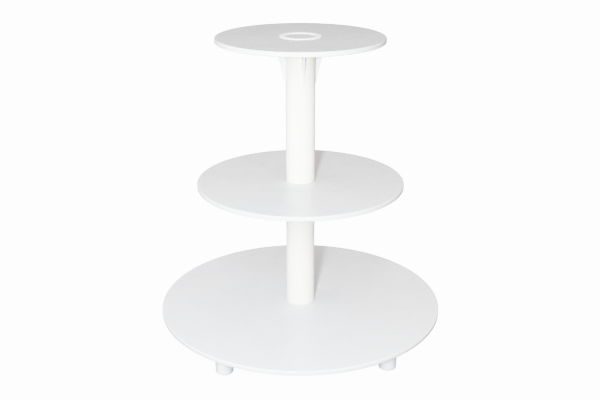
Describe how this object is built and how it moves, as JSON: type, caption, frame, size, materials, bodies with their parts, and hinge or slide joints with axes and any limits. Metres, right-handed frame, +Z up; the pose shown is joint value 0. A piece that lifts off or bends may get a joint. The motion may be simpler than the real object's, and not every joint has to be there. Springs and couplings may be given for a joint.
{
  "type": "tiered cake stand",
  "caption": "Tiered cake stand: round boards on a central column that lifts apart tier by tier, with a low seat ring on the top board, fins under it and short round feet.",
  "frame": {"origin": "on the floor under the feet, on the column's axis", "axes": "+Z up along the column, -Y is the front, +X to the right seen from the front"},
  "size_m": [0.3999, 0.4, 0.4117],
  "materials": {
    "board": "fine satin grain",
    "column": "smooth extruded gloss",
    "ring": "turned, soft gloss",
    "gusset": "sawn sheet, satin faces",
    "plug": "moulded, satin",
    "foot": "moulded, satin",
    "fastener": "bright zinc plate"
  },
  "bodies": {
    "base": {"base_board": "board", "base_plug": "plug", "base_bolt": "fastener", "base_washer": "fastener", "base_nut": "fastener", "foot_1": "foot", "foot_2": "foot", "foot_3": "foot", "foot_4": "foot", "foot_5": "foot", "foot_screws": "fastener"},
    "lower_post": {"lower_column": "column"},
    "middle_tier": {"middle_board": "board", "middle_plug": "plug", "under_plug": "plug", "middle_bolt": "fastener", "middle_washers": "fastener", "middle_nut": "fastener"},
    "top_tier": {"top_board": "board", "top_ring": "ring", "upper_column": "column", "gusset_1": "gusset", "gusset_2": "gusset", "gusset_3": "gusset", "gusset_4": "gusset"}
  },
  "joints": [
    {"name": "lower_column_lift", "type": "slide", "parent": "base", "child": "lower_post", "axis": [0, 0, 1], "range_m": [0, 0.04]},
    {"name": "middle_tier_lift", "type": "slide", "parent": "lower_post", "child": "middle_tier", "axis": [0, 0, 1], "range_m": [0, 0.04]},
    {"name": "top_tier_lift", "type": "slide", "parent": "middle_tier", "child": "top_tier", "axis": [0, 0, 1], "range_m": [0, 0.04]}
  ]
}
